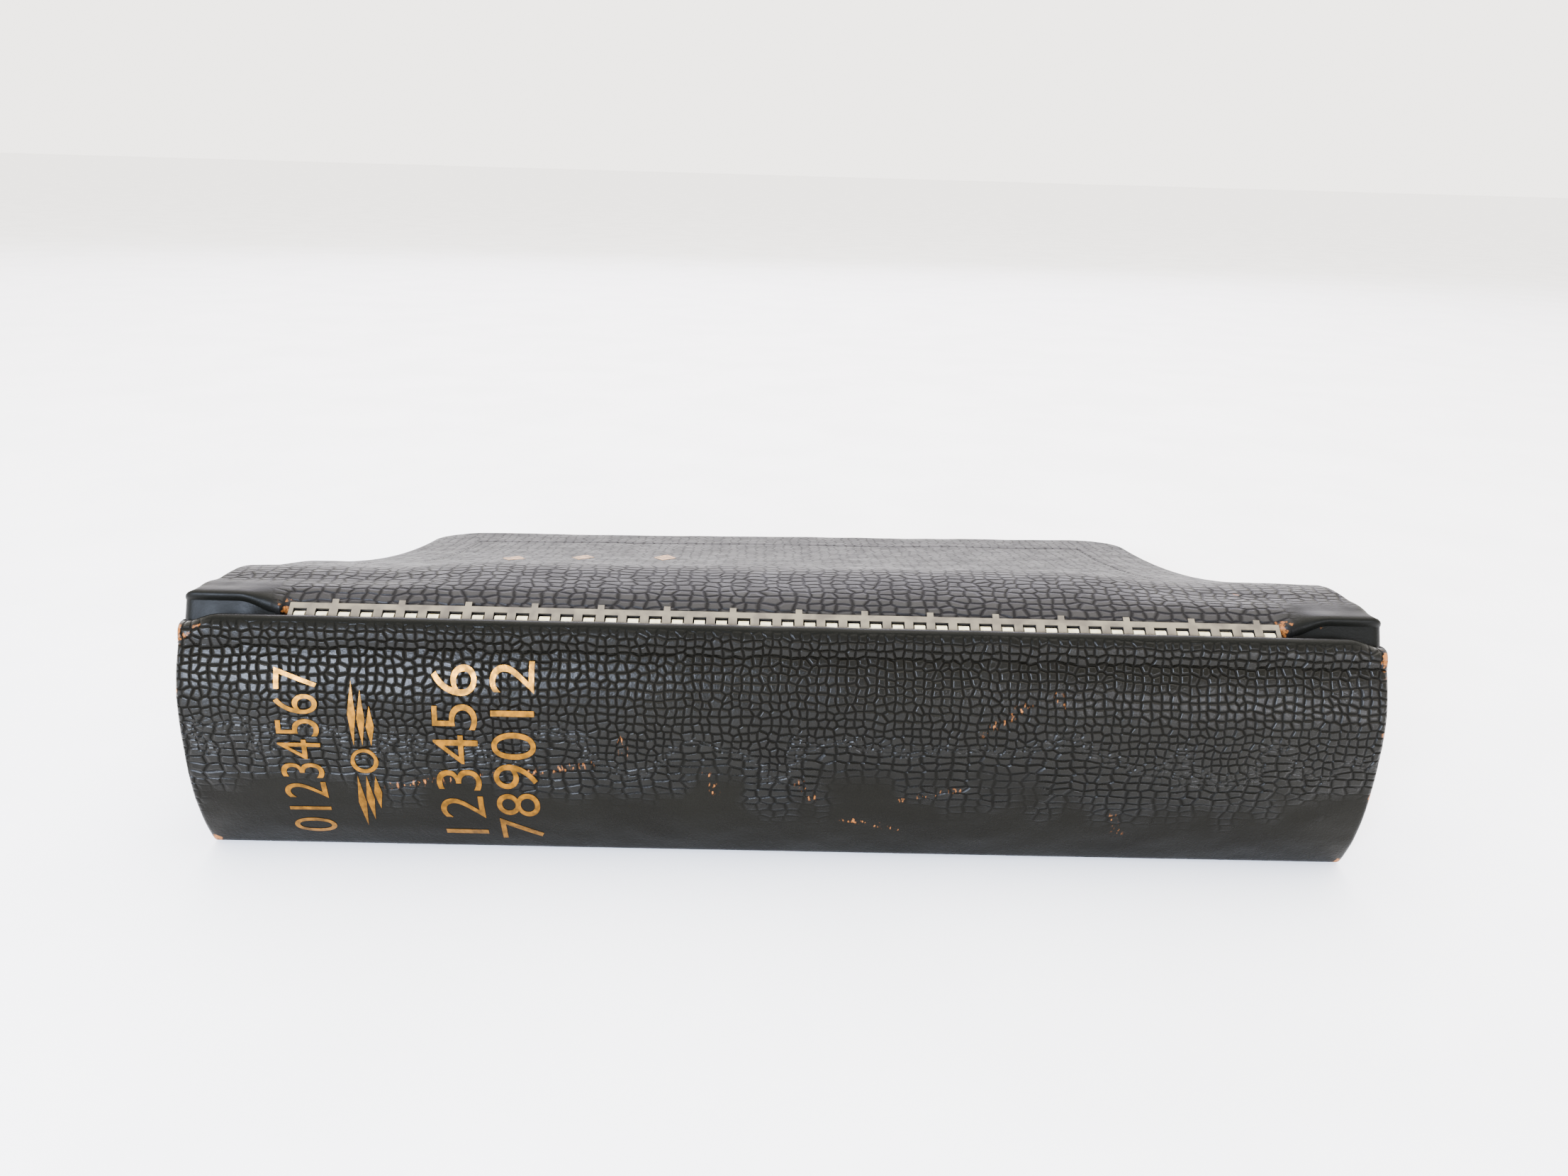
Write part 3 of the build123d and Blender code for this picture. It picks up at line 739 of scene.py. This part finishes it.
for number, (figures, left, right, low, high) in enumerate(gold["lines"]):
    deselectAll()
    bpy.ops.object.text_add()
    text = bpy.context.object
    text.data.body = figures
    text.data.extrude = 0.05
    text.data.offset = -0.006
    bpy.ops.object.convert(target="MESH")
    line = bpy.context.object
    line.name = f"goldLine{number + 1}"
    spans = [[v.co[axis] for v in line.data.vertices] for axis in (0, 1)]
    for vert in line.data.vertices:
        along = (vert.co.x - min(spans[0])) / (max(spans[0]) - min(spans[0]))
        up = (vert.co.y - min(spans[1])) / (max(spans[1]) - min(spans[1]))
        lift = 1.0 if vert.co.z > 0 else -1.0
        vert.co = Vector((right + (left - right) * up, lift, low + (high - low) * along)) * mm
    sliceAcross(line, low, high)
    layOnSpine(line)
    finishFoil(line, "spine", goldFoil)

goldX, goldZ = gold["ornament"]
goldWide, goldTall = gold["ornamentSize"]
deselectAll()
bpy.ops.mesh.primitive_torus_add(major_segments=48, minor_segments=8, major_radius=goldWide * 0.42 * mm,
                                 minor_radius=0.45 * mm, location=(goldX * mm, 0, goldZ * mm),
                                 rotation=(math.pi / 2, 0, 0))
ornament = bpy.context.object
ornament.name = "goldOrnament"
for side in (-1, 1):
    for part in range(3):               # three slim lozenges above and below the ring
        offset = (part - 1) * 1.75
        size = goldTall * (0.38, 0.33, 0.24)[part]
        bpy.ops.mesh.primitive_cylinder_add(
            vertices=4, radius=1.0, depth=2 * mm, rotation=(math.pi / 2, 0, 0),
            location=((goldX + offset) * mm, 0, (goldZ + side * (goldWide * 0.5 + 0.7 + size / 2)) * mm))
        piece = bpy.context.object
        piece.scale = (0.8 * mm, size / 2 * mm, 1)
        bpy.ops.object.transform_apply(location=False, rotation=False, scale=True)
        piece.select_set(True)
        ornament.select_set(True)
        bpy.context.view_layer.objects.active = ornament
        bpy.ops.object.join()
bpy.ops.object.transform_apply(location=True, rotation=True, scale=True)
for vert in ornament.data.vertices:
    vert.co.y = mm if vert.co.y < 0 else -mm
sliceAcross(ornament, goldZ - goldTall / 2, goldZ + goldTall / 2)
layOnSpine(ornament)
finishFoil(ornament, "spine", goldFoil)

markWide, markLong = gold["markSize"]
marks = None
for x, y in gold["coverMarks"]:         # rubbed lozenges where an owner's letters would be
    deselectAll()
    bpy.ops.mesh.primitive_cylinder_add(vertices=4, radius=1.0, depth=2 * mm, location=(0, 0, 0))
    mark = bpy.context.object
    bpy.ops.object.mode_set(mode="EDIT")
    bpy.ops.mesh.select_all(action="SELECT")
    bpy.ops.transform.resize(value=(markWide / 2 * mm, markLong / 2 * mm, 1))
    bpy.ops.transform.translate(value=(x * mm, y * mm, 0))
    bpy.ops.mesh.subdivide(number_cuts=3)
    bpy.ops.object.mode_set(mode="OBJECT")
    if marks:
        marks.select_set(True)
        bpy.context.view_layer.objects.active = marks
        bpy.ops.object.join()
    marks = marks or mark
marks.name = "goldCoverMarks"
layOnCover(marks)
finishFoil(marks, "front_cover", wornFoil)
print("gold blocking done")


room = {
    "floor": 60.0, "world": ("fffaf3", 4.3), "dim": 0.2, "dimFade": (-0.9, -0.25),
    "horizon": 0.92, "skyRise": (0.0, 0.5),
    "lamps": [  # name, place in m, aimed at m, width, height, watts, hex
        ("overhead", (0.1, 0.25, 1.3), (0, 0, 0.03), 1.6, 1.2, 40.0, "fffaf2"),
        ("windowLeft", (-0.62, -1.28, 0.47), (-0.08, -0.08, 0.04), 0.55, 0.5, 130.0, "d9e6ff"),
        ("windowRight", (0.70, -1.35, 0.26), (0.08, -0.08, 0.04), 0.5, 0.3, 26.0, "f4f5ff"),
        ("behind", (0.0, 1.3, 0.75), (0, 0, 0.04), 1.8, 0.8, 30.0, "e8e4ff"),
    ],
}
deselectAll()
bpy.ops.mesh.primitive_plane_add(size=room["floor"], location=(0, 0, 0))
table = bpy.context.object
table.name = "table"
# painted board, pale and matt: the plain ground everything stands on
table.data.materials.append(plainMaterial("whitePaintedTable", "f6f6f7", "efeff0", 0.7, 0.0, 60.0, relief=0.01))

world = bpy.data.worlds.new("paleRoom")
bpy.context.scene.world = world
world.use_nodes = True
# White all round, dimmer on the side of the room that the spine faces
sky = world.node_tree.nodes["Background"]
facing = addNode(world.node_tree, "ShaderNodeTexCoord").outputs["Generated"]
towards = addNode(world.node_tree, "ShaderNodeSeparateXYZ", {0: facing}).outputs[1]
brightness = rangeOf(world.node_tree, towards, *room["dimFade"], room["dim"], room["world"][1])
upwards = addNode(world.node_tree, "ShaderNodeSeparateXYZ", {0: facing}).outputs[2]
brightness = joinMath(world.node_tree, "MULTIPLY", brightness,
                      rangeOf(world.node_tree, upwards, *room["skyRise"], room["horizon"], 1.0))
world.node_tree.links.new(brightness, sky.inputs["Strength"])
sky.inputs["Color"].default_value = colour(room["world"][0])

for name, place, aim, wide, tall, watts, tint in room["lamps"]:
    bpy.ops.object.light_add(type="AREA", location=place)
    lamp = bpy.context.object
    lamp.name = name
    lamp.data.shape = "RECTANGLE"
    lamp.data.size, lamp.data.size_y = wide, tall
    lamp.data.energy = watts
    lamp.data.color = colour(tint)[:3]
    lamp.rotation_euler = (Vector(aim) - Vector(place)).to_track_quat("-Z", "Y").to_euler()

lens = {
    "fromPins": (-4.5, -214.6, 137.6), "down": 20.06, "toRight": 0.94, "roll": 1.67,
    "focal": 36.0 * 1616 / 2212,
}
pitch, yaw, roll = (math.radians(lens[k]) for k in ("down", "toRight", "roll"))
forward = Vector((math.sin(yaw) * math.cos(pitch), math.cos(yaw) * math.cos(pitch), -math.sin(pitch)))
level = Vector((math.cos(yaw), -math.sin(yaw), 0))
upward = level.cross(forward)
right = math.cos(roll) * level + math.sin(roll) * upward
up = math.cos(roll) * upward - math.sin(roll) * level
turned = Matrix((right, up, -forward)).transposed().to_4x4()
x, y, z = lens["fromPins"]
bpy.ops.object.camera_add()
camera = bpy.context.object
camera.name = "viewer"
camera.matrix_world = Matrix.Translation(Vector((x, pinY + y, z)) * mm) @ turned
camera.data.lens = lens["focal"]
camera.data.sensor_width = 36.0
camera.data.clip_start = 0.01
bpy.context.scene.camera = camera
